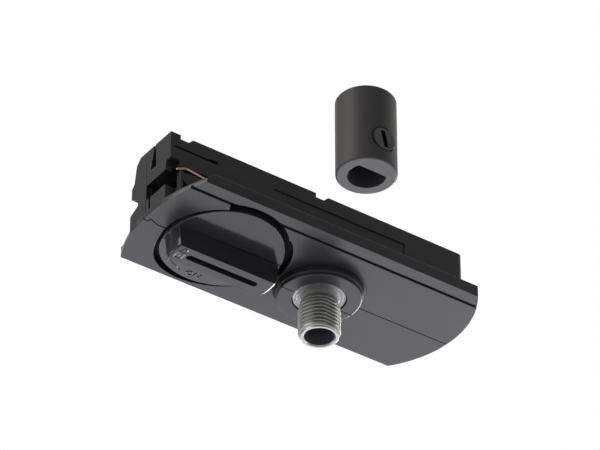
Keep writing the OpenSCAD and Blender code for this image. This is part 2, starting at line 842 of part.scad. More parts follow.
module neutral_contact() {
  x = terminal_x + terminal_pitch;
  front = terminal_y + terminal_w + strip_t / 2;
  run = far_face - strip_in;
  copper_strip(concat(
    [[x + terminal_l / 2, front], [x - terminal_l / 2, front]],
    [[x - terminal_l / 2 - jog_l, far_lane]],
    [[knob_x + spring_x + jog_l, far_lane], [knob_x + spring_x, run]],
    bulge_path(left_x + neutral_bulge_x, short_rise, run, far_face + bulge - strip_t / 2)
  ));
}

module earth_contact() {
  x = earth_x + earth_run;
  back = terminal_y - strip_t / 2;
  copper_strip(concat(
    [[x + terminal_l / 2, back], [x - terminal_l / 2, back]],
    bulge_path(earth_x, short_rise, strip_in - near_face, strip_t / 2 - bulge - near_face)
  ));
}

module terminal_block() {
  end = terminal_pitch / 2 + partition_t / 2;
  cell = terminal_pitch / 2 - partition_t / 2;
  low = [terminal_x - end, terminal_y + block_step, floor_z];
  high = [terminal_x + 2 * terminal_pitch + end, terminal_y + terminal_w, terminal_z + terminal_h];
  color("#d8d6cf") difference() {
    box(low, high);
    for (i = [0:2]) {
      x = terminal_x + i * terminal_pitch;
      box([x - cell, -reach, terminal_z], [x + cell, reach, reach]);
    }
  }
}

// Brass terminal number i, with a wire hole and the hole of the screw that clamps the wire
module terminal(i) {
  x = terminal_x + i * terminal_pitch;
  half = terminal_l / 2;
  front = terminal_y + terminal_w;
  color("#b99a4e") difference() {
    box([x - half, terminal_y, terminal_z], [x + half, front, terminal_z + terminal_h]);
    translate([x, terminal_y + wire_in, -reach]) cylinder(r = wire_r, h = 2 * reach);
    translate([x, front + eps, terminal_z + term_screw_z]) rotate([90, 0, 0]) {
      cylinder(r = term_screw_r + screw_play, h = term_screw_l + tip_air + eps);
    }
  }
}

module line_terminal() {
  terminal(0);
}

module neutral_terminal() {
  terminal(1);
}

module earth_terminal() {
  terminal(2);
}

module terminal_screws() {
  color("#a9acb0") for (i = [0:2]) {
    x = terminal_x + i * terminal_pitch;
    translate([x, terminal_y + terminal_w, terminal_z + term_screw_z]) rotate([-90, 0, 0]) {
      slotted_screw(term_screw_r, term_screw_l, term_head_r, term_head_h);
    }
  }
}

module cable_nipple() {
  neck_end = shoulder_face - neck_l;
  color("#8f9189") translate([nipple_x, 0, 0]) difference() {
    rotate_extrude() polygon([
      [bore_r, nipple_top], [thread_r, nipple_top], [thread_r, floor_z], [shoulder_r, floor_z],
      [shoulder_r, shoulder_face], [neck_r, shoulder_face], [neck_r, neck_end],
      [thread_r, neck_end - thread_r + neck_r], [thread_r, nipple_end + chamfer_l],
      [thread_r - thread_chamfer, nipple_end], [bore_r + mouth_chamfer, nipple_end],
      [bore_r, nipple_end + mouth_chamfer]
    ]);
    box([-reach, -reach, -reach], [reach, flat_d - thread_r, shoulder_face]);
  }
}

module nipple_carrier() {
  color("#9a9da1") upright(floor_z, carrier_top) difference() {
    translate([nipple_x - carrier_x, wall - near_face + screw_play]) {
      square([2 * carrier_x, near_face + far_face - 2 * wall - 2 * screw_play]);
    }
    translate([nipple_x, 0]) circle(thread_r + thread_play);
  }
}

module lock_washer() {
  color("#b4b7ba") translate([nipple_x, 0, carrier_top]) difference() {
    cylinder(r = nut_washer_r, h = nut_washer_t);
    translate([0, 0, -eps]) cylinder(r = thread_r + thread_play, h = nut_washer_t + 2 * eps);
  }
}

// Hexagon nut with two flats along the side walls
module nipple_nut() {
  color("#a9acb0") translate([nipple_x, 0, nut_z]) difference() {
    cylinder(r = nut_af / 2 / cos(30), h = nut_h, $fn = 6);
    translate([0, 0, -eps]) cylinder(r = thread_r + thread_play, h = nut_h + 2 * eps);
  }
}

module shell_screws() {
  color("#a9acb0") for (x = post_xs) {
    translate([x, head_seat, post_z]) rotate([-90, 0, 0]) {
      slotted_screw(shell_screw_r, shell_screw_l, shell_head_r, shell_head_h);
    }
  }
}

module cord_grip() {
  edge_r = collar_r - collar_edge;
  color("#3d3d40") translate([grip_x, grip_y, grip_low]) difference() {
    rotate_extrude() polygon([
      [0, 0], [edge_r, 0], [collar_r, collar_edge], [collar_r, collar_h - collar_edge],
      [edge_r, collar_h], [0, collar_h]
    ]);
    // Cord hole with a flat on the clamp side
    upright(-eps, collar_h) intersection() {
      circle(cord_r);
      translate([-reach, -cord_flat]) square(2 * reach);
    }
    translate([0, 0, collar_h - grip_thread_l]) cylinder(r = thread_r + grip_play, h = reach);
    translate([0, 0, clamp_z]) rotate([90, 0, 0]) cylinder(r = clamp_r + clamp_play, h = reach);
  }
}

module clamp_screw() {
  face = collar_r - clamp_sink;
  tip = cord_flat + clamp_tip;
  color("#353538") translate([grip_x, grip_y, grip_low + clamp_z]) rotate([90, 0, 0]) difference() {
    rotate_extrude() polygon([
      [0, tip], [clamp_r, tip], [clamp_r, face - clamp_edge], [clamp_r - clamp_edge, face], [0, face]
    ]);
    rotate(clamp_turn) translate([-clamp_slot_w / 2, -clamp_slot_l / 2, face - clamp_slot_d]) {
      cube([clamp_slot_w, clamp_slot_l, reach]);
    }
  }
}

near_shell();
far_shell();
lock_knob();
locking_bar();
bar_washer();
bar_screw();
line_contact();
neutral_contact();
earth_contact();
terminal_block();
line_terminal();
neutral_terminal();
earth_terminal();
terminal_screws();
cable_nipple();
nipple_carrier();
lock_washer();
nipple_nut();
shell_screws();
cord_grip();
clamp_screw();
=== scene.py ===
import json
from math import atan2, cos, degrees, pi, radians, sin

import bmesh
import bpy
from mathutils import Matrix, Vector
from mathutils.kdtree import KDTree


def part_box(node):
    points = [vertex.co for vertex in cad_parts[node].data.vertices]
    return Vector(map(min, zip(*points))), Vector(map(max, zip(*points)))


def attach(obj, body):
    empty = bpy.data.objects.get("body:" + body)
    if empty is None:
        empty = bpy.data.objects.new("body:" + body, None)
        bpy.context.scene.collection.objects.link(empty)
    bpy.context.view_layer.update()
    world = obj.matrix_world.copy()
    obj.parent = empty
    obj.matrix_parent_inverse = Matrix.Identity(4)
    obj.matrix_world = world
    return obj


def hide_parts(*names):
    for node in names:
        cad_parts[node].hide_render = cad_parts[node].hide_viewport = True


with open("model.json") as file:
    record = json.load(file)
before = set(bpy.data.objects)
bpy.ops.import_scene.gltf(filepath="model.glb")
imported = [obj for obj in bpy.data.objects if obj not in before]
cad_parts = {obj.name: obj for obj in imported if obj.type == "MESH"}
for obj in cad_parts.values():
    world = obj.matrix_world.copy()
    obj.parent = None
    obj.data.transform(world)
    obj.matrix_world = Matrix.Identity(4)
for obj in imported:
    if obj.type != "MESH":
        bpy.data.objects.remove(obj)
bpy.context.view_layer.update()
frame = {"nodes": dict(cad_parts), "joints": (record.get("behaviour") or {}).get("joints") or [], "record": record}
nodes = frame["nodes"]
mm = 0.001
print("frame loaded:", len(nodes), "nodes")

# Camera below the plate, looking up at the key side

view = {
    "place": Vector((-0.43676, -0.61406, -0.54212)),
    "along": Vector((0.46731, 0.65576, 0.59296)),
    "lens": 240,
    "sensor": 36,
    "nearest": 0.01,
}

cameraData = bpy.data.cameras.new("mainView")
cameraData.lens = view["lens"]
cameraData.sensor_width = view["sensor"]
cameraData.sensor_fit = "HORIZONTAL"
cameraData.clip_start = view["nearest"]
camera = bpy.data.objects.new("mainView", cameraData)
camera.location = view["place"]
camera.rotation_euler = view["along"].to_track_quat("-Z", "Y").to_euler()
bpy.context.scene.collection.objects.link(camera)
bpy.context.scene.camera = camera

# Node steps that several trees use

colourA, colourB, colourOut = 6, 7, 2  # sockets of a Mix node that mixes colours


def mathNode(tree, what, a, b):
    step = tree.nodes.new("ShaderNodeMath")
    step.operation = what
    for slot, value in enumerate((a, b)):
        if isinstance(value, (int, float)):
            step.inputs[slot].default_value = value
        else:
            tree.links.new(value, step.inputs[slot])
    return step.outputs[0]


# White sweep behind the part, a dim room on the camera's side

room = {
    "behind": (0.80, 0.60, 0.0),  # the bright side
    "dim": (0.16, 0.16, 0.165, 1),
    "bright": (0.95, 0.96, 0.93, 1),
    "turnsDim": -0.12,
    "turnsBright": 0.75,
    "backdrop": (1, 1, 1, 1),
    "floorDrop": 1.6,
    "floorSize": 30.0,
    "floorColour": (0.82, 0.82, 0.82, 1),
    "floorRough": 0.8,
    "floorGlow": 0.62,  # keeps the floor pale to the eye
}

softBoxes = [
    # name, direction from the part, distance, size, brightness, colour
    ("sweepGlow", Vector((0.35, 0.49, -0.80)), 1.0, 1.4, 1.14, (0.935, 0.91, 1.0)),
    ("leftLamp", Vector((-0.92, 0.10, 0.30)), 1.0, 0.8, 3.1, (1.0, 0.98, 0.94)),
    ("rightLamp", Vector((0.83, 0.55, -0.10)), 1.0, 0.42, 14.0, (1.0, 1.0, 1.0)),
    ("cornerGlint", Vector((-0.58, 0.69, -0.43)), 1.0, 0.12, 10.0, (1.0, 1.0, 0.9)),
    ("threadGlint", Vector((0.82, -0.23, -0.52)), 1.0, 0.16, 10.0, (1.0, 1.0, 0.97)),
]


def makeRoom():
    world = bpy.data.worlds.new("studio")
    bpy.context.scene.world = world
    world.use_nodes = True
    tree = world.node_tree
    tree.nodes.clear()
    put = tree.nodes.new
    coord = put("ShaderNodeTexCoord")
    dot = put("ShaderNodeVectorMath")
    dot.operation = "DOT_PRODUCT"
    dot.inputs[1].default_value = room["behind"]
    ramp = put("ShaderNodeMapRange")
    ramp.interpolation_type = "SMOOTHSTEP"
    ramp.inputs["From Min"].default_value = room["turnsDim"]
    ramp.inputs["From Max"].default_value = room["turnsBright"]
    sides = put("ShaderNodeMix")
    sides.data_type = "RGBA"
    sides.inputs[colourA].default_value = room["dim"]
    sides.inputs[colourB].default_value = room["bright"]
    path = put("ShaderNodeLightPath")
    seen = put("ShaderNodeMix")
    seen.data_type = "RGBA"
    seen.inputs[colourB].default_value = room["backdrop"]
    sky = put("ShaderNodeBackground")
    out = put("ShaderNodeOutputWorld")
    link = tree.links.new
    link(coord.outputs["Generated"], dot.inputs[0])
    link(dot.outputs["Value"], ramp.inputs["Value"])
    link(ramp.outputs["Result"], sides.inputs[0])
    link(sides.outputs[colourOut], seen.inputs[colourA])
    link(path.outputs["Is Camera Ray"], seen.inputs[0])
    link(seen.outputs[colourOut], sky.inputs["Color"])
    link(sky.outputs["Background"], out.inputs["Surface"])
    for name, direction, distance, size, glow, colour in softBoxes:
        lamp = bpy.data.lights.new(name, "AREA")
        lamp.size = size
        lamp.color = colour
        lamp.energy = glow * pi * size * size
        box = bpy.data.objects.new(name, lamp)
        box.location = direction.normalized() * distance
        box.rotation_euler = (-direction).to_track_quat("-Z", "Y").to_euler()
        box.visible_camera = False
        bpy.context.scene.collection.objects.link(box)
    bpy.context.scene.view_settings.view_transform = "Standard"


def makeFloor():
    half = room["floorSize"] / 2
    low = -room["floorDrop"]
    sheet = bpy.data.meshes.new("floor")
    corners = [(-half, -half, low), (half, -half, low), (half, half, low), (-half, half, low)]
    sheet.from_pydata(corners, [], [(0, 1, 2, 3)])
    floor = bpy.data.objects.new("floor", sheet)
    bpy.context.scene.collection.objects.link(floor)
    paint = bpy.data.materials.new("floorPaint")
    paint.use_nodes = True
    shader = paint.node_tree.nodes["Principled BSDF"]
    shader.inputs["Base Color"].default_value = room["floorColour"]
    shader.inputs["Roughness"].default_value = room["floorRough"]
    shader.inputs["Emission Color"].default_value = room["backdrop"]
    path = paint.node_tree.nodes.new("ShaderNodeLightPath")
    toEye = path.outputs["Is Camera Ray"]
    glow = mathNode(paint.node_tree, "MULTIPLY", toEye, room["floorGlow"])
    paint.node_tree.links.new(glow, shader.inputs["Emission Strength"])
    sheet.materials.append(paint)


makeRoom()
makeFloor()
print("camera, room and floor set")

# Effects that several finishes share

grainMix = {
    "fineDetail": 2.0,
    "cloudDetail": 3.0,
    "cloudSpan": (0.3, 0.7),
    "fineShare": 0.6,
    "cloudShare": 0.4,
    "glossSpan": (0.2, 0.8),
    "depth": 0.02 * mm,
}
latheMix = {"ringDetail": 3.0, "chatterDetail": 4.0, "chatterSpan": (0.3, 0.7)}


def newEffect(name, values, results):
    tree = bpy.data.node_groups.new(name, "ShaderNodeTree")
    for label, kind, start in values:
        socket = tree.interface.new_socket(label, in_out="INPUT", socket_type=kind)
        if start is not None:
            socket.default_value = start
    for label in results:
        tree.interface.new_socket(label, in_out="OUTPUT", socket_type="NodeSocketFloat")
    return tree, tree.nodes.new("NodeGroupInput"), tree.nodes.new("NodeGroupOutput")


def mapRange(tree, value, low, high, toLow, toHigh):
    step = tree.nodes.new("ShaderNodeMapRange")
    step.inputs["From Min"].default_value = low
    step.inputs["From Max"].default_value = high
    for label, target in (("To Min", toLow), ("To Max", toHigh)):
        if isinstance(target, (int, float)):
            step.inputs[label].default_value = target
        else:
            tree.links.new(target, step.inputs[label])
    tree.links.new(value, step.inputs["Value"])
    return step.outputs["Result"]


def noiseNode(tree, vector, scale, detail):
    step = tree.nodes.new("ShaderNodeTexNoise")
    step.inputs["Detail"].default_value = detail
    tree.links.new(vector, step.inputs["Vector"])
    tree.links.new(scale, step.inputs["Scale"])
    return step.outputs["Fac"]


def makeMouldGrain():  # spark-eroded grain with slow clouds of gloss
    tree, given, out = newEffect("mouldGrain", [
        ("Vector", "NodeSocketVector", None),
        ("Grain per metre", "NodeSocketFloat", 9000.0),
        ("Clouds per metre", "NodeSocketFloat", 60.0),
        ("Rough low", "NodeSocketFloat", 0.3),
        ("Rough high", "NodeSocketFloat", 0.4),
    ], ["Height", "Cloud", "Roughness"])
    g = grainMix
    value = given.outputs
    fine = noiseNode(tree, value["Vector"], value["Grain per metre"], g["fineDetail"])
    cloud = noiseNode(tree, value["Vector"], value["Clouds per metre"], g["cloudDetail"])
    wide = mapRange(tree, cloud, *g["cloudSpan"], 0.0, 1.0)
    finePart = mathNode(tree, "MULTIPLY", fine, g["fineShare"])
    widePart = mathNode(tree, "MULTIPLY", wide, g["cloudShare"])
    mixed = mathNode(tree, "ADD", finePart, widePart)
    gloss = mapRange(tree, mixed, *g["glossSpan"], value["Rough low"], value["Rough high"])
    tree.links.new(fine, out.inputs["Height"])
    tree.links.new(wide, out.inputs["Cloud"])
    tree.links.new(gloss, out.inputs["Roughness"])
    return tree


def makeLatheMarks():  # fine rings left by a turning tool, round the Z axis of the vector
    tree, given, out = newEffect("latheMarks", [
        ("Vector", "NodeSocketVector", None),
        ("Marks per metre", "NodeSocketFloat", 6000.0),
        ("Chatter per metre", "NodeSocketFloat", 1500.0),
    ], ["Height", "Chatter"])
    part = tree.nodes.new("ShaderNodeSeparateXYZ")
    tree.links.new(given.outputs["Vector"], part.inputs[0])
    flat = tree.nodes.new("ShaderNodeCombineXYZ")
    tree.links.new(part.outputs["X"], flat.inputs["X"])
    tree.links.new(part.outputs["Y"], flat.inputs["Y"])
    size = tree.nodes.new("ShaderNodeVectorMath")
    size.operation = "LENGTH"
    tree.links.new(flat.outputs[0], size.inputs[0])
    along = mathNode(tree, "ADD", size.outputs["Value"], part.outputs["Z"])
    ring = tree.nodes.new("ShaderNodeTexNoise")
    ring.noise_dimensions = "1D"
    ring.inputs["Detail"].default_value = latheMix["ringDetail"]
    tree.links.new(along, ring.inputs["W"])
    tree.links.new(given.outputs["Marks per metre"], ring.inputs["Scale"])
    perMetre = given.outputs["Chatter per metre"]
    chatter = noiseNode(tree, given.outputs["Vector"], perMetre, latheMix["chatterDetail"])
    tree.links.new(ring.outputs["Fac"], out.inputs["Height"])
    tree.links.new(chatter, out.inputs["Chatter"])
    return tree


mouldGrain = makeMouldGrain()
latheMarks = makeLatheMarks()

# Finishes


def newFinish(name, effect, values, centre=(0, 0, 0)):
    finish = bpy.data.materials.new(name)
    finish.use_nodes = True
    tree = finish.node_tree
    coord = tree.nodes.new("ShaderNodeTexCoord")
    shift = tree.nodes.new("ShaderNodeMapping")
    shift.inputs["Location"].default_value = [-c for c in centre]
    tree.links.new(coord.outputs["Object"], shift.inputs["Vector"])
    marks = tree.nodes.new("ShaderNodeGroup")
    marks.node_tree = effect
    tree.links.new(shift.outputs["Vector"], marks.inputs["Vector"])
    for label, value in values.items():
        marks.inputs[label].default_value = value
    return finish, tree, tree.nodes["Principled BSDF"], marks


def colourMix(tree, factor, dark, light):
    mix = tree.nodes.new("ShaderNodeMix")
    mix.data_type = "RGBA"
    mix.inputs[colourA].default_value = (*dark, 1)
    mix.inputs[colourB].default_value = (*light, 1)
    tree.links.new(factor, mix.inputs[0])
    return mix.outputs[colourOut]


def addBump(tree, shader, height, strength, distance):
    bump = tree.nodes.new("ShaderNodeBump")
    bump.inputs["Strength"].default_value = strength
    bump.inputs["Distance"].default_value = distance
    tree.links.new(height, bump.inputs["Height"])
    tree.links.new(bump.outputs["Normal"], shader.inputs["Normal"])


def plasticFinish(name, look):
    values = {
        "Grain per metre": look["grain"],
        "Clouds per metre": look["clouds"],
        "Rough low": look["rough"][0],
        "Rough high": look["rough"][1],
    }
    finish, tree, shader, marks = newFinish(name, mouldGrain, values)
    tint = colourMix(tree, marks.outputs["Cloud"], look["dark"], look["light"])
    tree.links.new(tint, shader.inputs["Base Color"])
    tree.links.new(marks.outputs["Roughness"], shader.inputs["Roughness"])
    shader.inputs["Specular IOR Level"].default_value = look.get("shine", 0.5)
    addBump(tree, shader, marks.outputs["Height"], look["bump"], grainMix["depth"])
    return finish


def turnedFinish(name, look):
    values = {"Marks per metre": look["marks"], "Chatter per metre": look["chatter"]}
    finish, tree, shader, marks = newFinish(name, latheMarks, values, look["centre"])
    tint = colourMix(tree, marks.outputs["Chatter"], look["dark"], look["light"])
    tree.links.new(tint, shader.inputs["Base Color"])
    shader.inputs["Metallic"].default_value = look["metal"]
    gloss = mapRange(tree, marks.outputs["Chatter"], *latheMix["chatterSpan"], *look["rough"])
    tree.links.new(gloss, shader.inputs["Roughness"])
    both = mathNode(tree, "ADD", marks.outputs["Height"], marks.outputs["Chatter"])
    addBump(tree, shader, both, look["bump"], look["depth"])
    return finish


nippleMid = (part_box("cable_nipple")[0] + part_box("cable_nipple")[1]) / 2
gripMid = (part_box("cord_grip")[0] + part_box("cord_grip")[1]) / 2

shellPlastic = plasticFinish("shellPlastic", {
    "dark": (0.029, 0.028, 0.032), "light": (0.035, 0.034, 0.038), "grain": 4200.0, "clouds": 70.0,
    "rough": (0.27, 0.35), "bump": 0.22,
})
knobPlastic = plasticFinish("knobPlastic", {
    "dark": (0.030, 0.029, 0.033), "light": (0.036, 0.035, 0.039), "grain": 11000.0, "clouds": 90.0,
    "rough": (0.1, 0.16), "bump": 0.05,
})
markGloss = plasticFinish("markGloss", {
    "dark": (0.030, 0.029, 0.033), "light": (0.036, 0.035, 0.039), "grain": 11000.0, "clouds": 90.0,
    "rough": (0.04, 0.07), "bump": 0.02, "shine": 1.0,
})
gripSatin = plasticFinish("gripSatin", {
    "dark": (0.058, 0.055, 0.057), "light": (0.068, 0.064, 0.066), "grain": 13000.0, "clouds": 80.0,
    "rough": (0.46, 0.54), "bump": 0.1, "shine": 0.4,
})
clampSatin = plasticFinish("clampSatin", {
    "dark": (0.088, 0.085, 0.088), "light": (0.102, 0.098, 0.101), "grain": 13000.0, "clouds": 80.0,
    "rough": (0.42, 0.5), "bump": 0.1, "shine": 0.45,
})
# insideShade: near-black painted shade for the hollows, the knob's pocket and the clamp's sides, and the seam's
# dark joint
insideShade = plasticFinish("insideShade", {
    "dark": (0.004, 0.005, 0.006), "light": (0.008, 0.009, 0.011), "grain": 9000.0, "clouds": 70.0,
    "rough": (0.6, 0.8), "bump": 0.1, "shine": 0.15,
})
# recessShade: dim painted shade for the boss's fillet and the faces beside the tongue
recessShade = plasticFinish("recessShade", {
    "dark": (0.018, 0.018, 0.020), "light": (0.023, 0.023, 0.025), "grain": 9000.0, "clouds": 70.0,
    "rough": (0.5, 0.65), "bump": 0.1, "shine": 0.2,
})
ivoryPlastic = plasticFinish("ivoryPlastic", {
    "dark": (0.58, 0.55, 0.48), "light": (0.66, 0.63, 0.56), "grain": 8000.0, "clouds": 60.0,
    "rough": (0.35, 0.45), "bump": 0.1,
})
gripFace = turnedFinish("gripFace", {
    "dark": (0.065, 0.065, 0.066), "light": (0.1, 0.1, 0.101), "marks": 2200.0, "chatter": 600.0,
    "metal": 0.0, "rough": (0.28, 0.38), "bump": 0.25, "depth": 0.025 * mm, "centre": gripMid,
})
zincSteel = turnedFinish("zincSteel", {
    "dark": (0.40, 0.402, 0.394), "light": (0.50, 0.502, 0.492), "marks": 5000.0, "chatter": 1600.0,
    "metal": 1.0, "rough": (0.31, 0.41), "bump": 0.12, "depth": 0.02 * mm, "centre": nippleMid,
})
# tool-marked patches on the shoulder's down-facing ring; its base, darker than the nipple's steel, is painted
# shade
shoulderMarksAndShade = turnedFinish("shoulderMarksAndShade", {
    "dark": (0.08, 0.082, 0.086), "light": (0.42, 0.425, 0.43), "marks": 2600.0, "chatter": 1500.0,
    "metal": 1.0, "rough": (0.3, 0.5), "bump": 1.0, "depth": 0.12 * mm, "centre": nippleMid,
})
# painted light: a lighter copy of the nipple's steel for the neck, which lies in the shade under the boss
neckSteelPaintedLight = turnedFinish("neckSteelPaintedLight", {
    "dark": (0.70, 0.705, 0.70), "light": (0.80, 0.805, 0.80), "marks": 2600.0, "chatter": 500.0,
    "metal": 1.0, "rough": (0.4, 0.48), "bump": 0.1, "depth": 0.02 * mm, "centre": nippleMid,
})
# painted shade with a bluish painted reflection: a dull, dark, bluish copy of the nipple's steel for the bore
boreSteelPaintedShade = turnedFinish("boreSteelPaintedShade", {
    "dark": (0.10, 0.102, 0.125), "light": (0.14, 0.142, 0.17), "marks": 2600.0, "chatter": 1400.0,
    "metal": 0.3, "rough": (0.5, 0.7), "bump": 0.2, "depth": 0.02 * mm, "centre": nippleMid,
})
pressedSteel = turnedFinish("pressedSteel", {
    "dark": (0.46, 0.47, 0.48), "light": (0.6, 0.61, 0.62), "marks": 4000.0, "chatter": 1800.0,
    "metal": 1.0, "rough": (0.28, 0.42), "bump": 0.15, "depth": 0.02 * mm, "centre": (0, 0, 0),
})
screwSteel = turnedFinish("screwSteel", {
    "dark": (0.5, 0.5, 0.5), "light": (0.66, 0.66, 0.66), "marks": 6000.0, "chatter": 2200.0,
    "metal": 1.0, "rough": (0.22, 0.36), "bump": 0.2, "depth": 0.02 * mm, "centre": (0, 0, 0),
})
rolledCopper = turnedFinish("rolledCopper", {
    "dark": (0.78, 0.47, 0.28), "light": (0.95, 0.72, 0.50), "marks": 5000.0, "chatter": 1500.0,
    "metal": 1.0, "rough": (0.22, 0.34), "bump": 0.12, "depth": 0.02 * mm, "centre": (0, 0, 0),
})
drawnBrass = turnedFinish("drawnBrass", {
    "dark": (0.55, 0.42, 0.18), "light": (0.72, 0.58, 0.28), "marks": 5000.0, "chatter": 1500.0,
    "metal": 1.0, "rough": (0.24, 0.36), "bump": 0.12, "depth": 0.02 * mm, "centre": (0, 0, 0),
})
slotFinish = {
    "shell_plastic": shellPlastic, "knob_plastic": knobPlastic, "grip_plastic": gripSatin,
    "clamp_plastic": clampSatin, "block_plastic": ivoryPlastic, "nipple_steel": zincSteel,
    "pressed_steel": pressedSteel, "fastener_steel": screwSteel, "contact_copper": rolledCopper,
    "terminal_brass": drawnBrass,
}
nodeSlot = {row["node"]: row["material_slot"] for row in frame["record"]["subparts"]}
bodyOf = {n: b for b, members in frame["record"]["behaviour"]["bodies"].items() for n in members}
for name, node in nodes.items():
    node.data.materials.clear()
    node.data.materials.append(slotFinish[nodeSlot[name]])
print("finishes made:", len(slotFinish))

# The pocket's widening runs out to a point at the left

weldGap = 1e-6
widening = {
    "pocketRadius": 14.9 * mm,
    "reach": 17.6 * mm,
    "fullAt": 120,
    "goneAt": 166.5,
    "low": -3.1 * mm,
    "high": -0.9 * mm,
}
knobAxis = Vector((frame["joints"][0]["pos_m"][0], frame["joints"][0]["pos_m"][1], 0))


def taperWidening(bm):
    w = widening
    for v in bm.verts:
        out = Vector((v.co.x - knobAxis.x, v.co.y - knobAxis.y))
        turn = degrees(atan2(out.y, out.x))
        inWall = w["low"] < v.co.z < w["high"] and w["pocketRadius"] < out.length < w["reach"]
        if inWall and w["fullAt"] < turn < w["goneAt"]:
            share = (turn - w["fullAt"]) / (w["goneAt"] - w["fullAt"])
            keep = 1 - share * share * (3 - 2 * share)  # eases in and out
            out *= (w["pocketRadius"] + keep * (out.length - w["pocketRadius"])) / out.length
            v.co.x, v.co.y = knobAxis.x + out.x, knobAxis.y + out.y
    bmesh.ops.remove_doubles(bm, verts=bm.verts, dist=weldGap)


# The clamp screw's end is brought level with the collar's outermost line

clampEnd = {
    "lift": 0.35 * mm,
    "reach": 0.32 * mm,  # takes in the face and its chamfer
    "gap": 0.2 * mm,
    "sideTilt": 0.5,
    "chamferTilt": 0.8,
}
clampLow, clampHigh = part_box("clamp_screw")
clampMid = (clampLow + clampHigh) / 2
clampReach = (clampHigh.x - clampLow.x) / 2 + clampEnd["gap"]


def inClampHole(corners):
    for corner in corners:
        out = corner - clampMid
        if corner.y > clampHigh.y or Vector((out.x, out.z)).length > clampReach:
            return False
    return True


def raiseClampEnd(bm):
    end = min(v.co.y for v in bm.verts)
    for v in bm.verts:
        if v.co.y < end + clampEnd["reach"]:
            v.co.y -= clampEnd["lift"]


# Solids with broken edges: a merged copy of the solid, bevelled, stands for it

edgeShape = {
    "steps": 2,
    "angle": 32,  # sharper edges are broken
    "flat": 0.4,  # facets closer than this are one face
    "space": 2.6,  # widths that a full bevel needs about it
}


def addPiece(name, mesh, finish, body):
    piece = bpy.data.objects.new(name, mesh)
    bpy.context.scene.collection.objects.link(piece)
    mesh.materials.clear()
    mesh.materials.append(finish)
    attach(piece, body)
    return piece


def settle(piece):  # bakes the modifiers into a plain mesh
    bpy.context.view_layer.update()
    seen = piece.evaluated_get(bpy.context.evaluated_depsgraph_get())
    plain = bpy.data.meshes.new_from_object(seen)
    piece.modifiers.clear()
    old = piece.data
    piece.data = plain
    bpy.data.meshes.remove(old)
    plain.name = piece.name


def shadeByAngle(mesh, angle):
    mesh.polygons.foreach_set("use_smooth", [True] * len(mesh.polygons))
    mesh.set_sharp_from_angle(angle=radians(angle))


def weighEdges(bm, edge):  # sharp edges are bevelled in full, or thinly where two lie close
    weight = bm.edges.layers.float.new("bevel_weight_edge")
    least = radians(edgeShape["angle"])
    sharp = [e for e in bm.edges if len(e.link_faces) == 2 and e.calc_face_angle() > least]
    if "spare" in edge:
        sharp = [e for e in sharp if not edge["spare"]([v.co for v in e.verts])]
    space = edgeShape["space"] * edge["width"]
    samples = []
    for e in sharp:
        count = max(1, int(e.calc_length() / space * 2))  # two points in each space
        for i in range(count + 1):
            samples.append((e.verts[0].co.lerp(e.verts[1].co, i / count), e))
    tree = KDTree(len(samples))
    for i, (point, e) in enumerate(samples):
        tree.insert(point, i)
    tree.balance()
    tight = {e for e in sharp if e.calc_length() < space}
    for point, e in samples:
        near = {samples[i][1] for place, i, gap in tree.find_range(point, space)} - {e}
        if any(not set(e.verts) & set(other.verts) for other in near):
            tight.add(e)
    for e in sharp:
        e[weight] = edge["thin"] if e in tight else 1.0


def brokenEdges(node, edge):
    bm = bmesh.new()
    bm.from_mesh(nodes[node].data)
    bmesh.ops.remove_doubles(bm, verts=bm.verts, dist=weldGap)
    flat = radians(edgeShape["flat"])
    bmesh.ops.dissolve_limit(bm, angle_limit=flat, verts=bm.verts, edges=bm.edges)
    if "reshape" in edge:
        edge["reshape"](bm)
    weighEdges(bm, edge)
    mesh = bpy.data.meshes.new(edge["name"])
    bm.to_mesh(mesh)
    bm.free()
    slot = nodeSlot[node]
    piece = bpy.data.objects.new(edge["name"], mesh)
    bpy.context.scene.collection.objects.link(piece)
    mesh.materials.clear()
    mesh.materials.append(slotFinish[slot])
    bevel = piece.modifiers.new("edges", "BEVEL")
    bevel.width = edge["width"]
    bevel.segments = edgeShape["steps"]
    bevel.limit_method = "WEIGHT"
    bevel.use_clamp_overlap = False
    settle(piece)
    shadeByAngle(piece.data, edgeShape["angle"])
    even = piece.modifiers.new("even", "WEIGHTED_NORMAL")
    even.keep_sharp = True
    settle(piece)
    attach(piece, bodyOf[node])
    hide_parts(node)
    return piece


edgeBreaks = {
    "near_shell": {"name": "nearHalf", "width": 0.14 * mm, "thin": 0.3},
    "far_shell": {"name": "farHalf", "width": 0.14 * mm, "thin": 0.3, "reshape": taperWidening},
    "lock_knob": {"name": "turnKnob", "width": 0.16 * mm, "thin": 0.5},
    "cord_grip": {"name": "cordCollar", "width": 0.12 * mm, "thin": 0.5, "spare": inClampHole},
    "clamp_screw": {"name": "clampPlug", "width": 0.12 * mm, "thin": 0.5, "reshape": raiseClampEnd},
    "shell_screws": {"name": "closingScrews", "width": 0.12 * mm, "thin": 0.5},
    "line_contact": {"name": "lineSpring", "width": 0.06 * mm, "thin": 0.5},
}
broken = {node: brokenEdges(node, edge) for node, edge in edgeBreaks.items()}
print("edges broken on", len(broken), "solids")

# Painted shade in the shells' hollows: the knob's pocket and everything behind the insert's skin get the
# near-black insideShade, the faces beside the tongue and the boss's fillet the dim recessShade; the seam's walls
# take the near-black finish as a dark joint

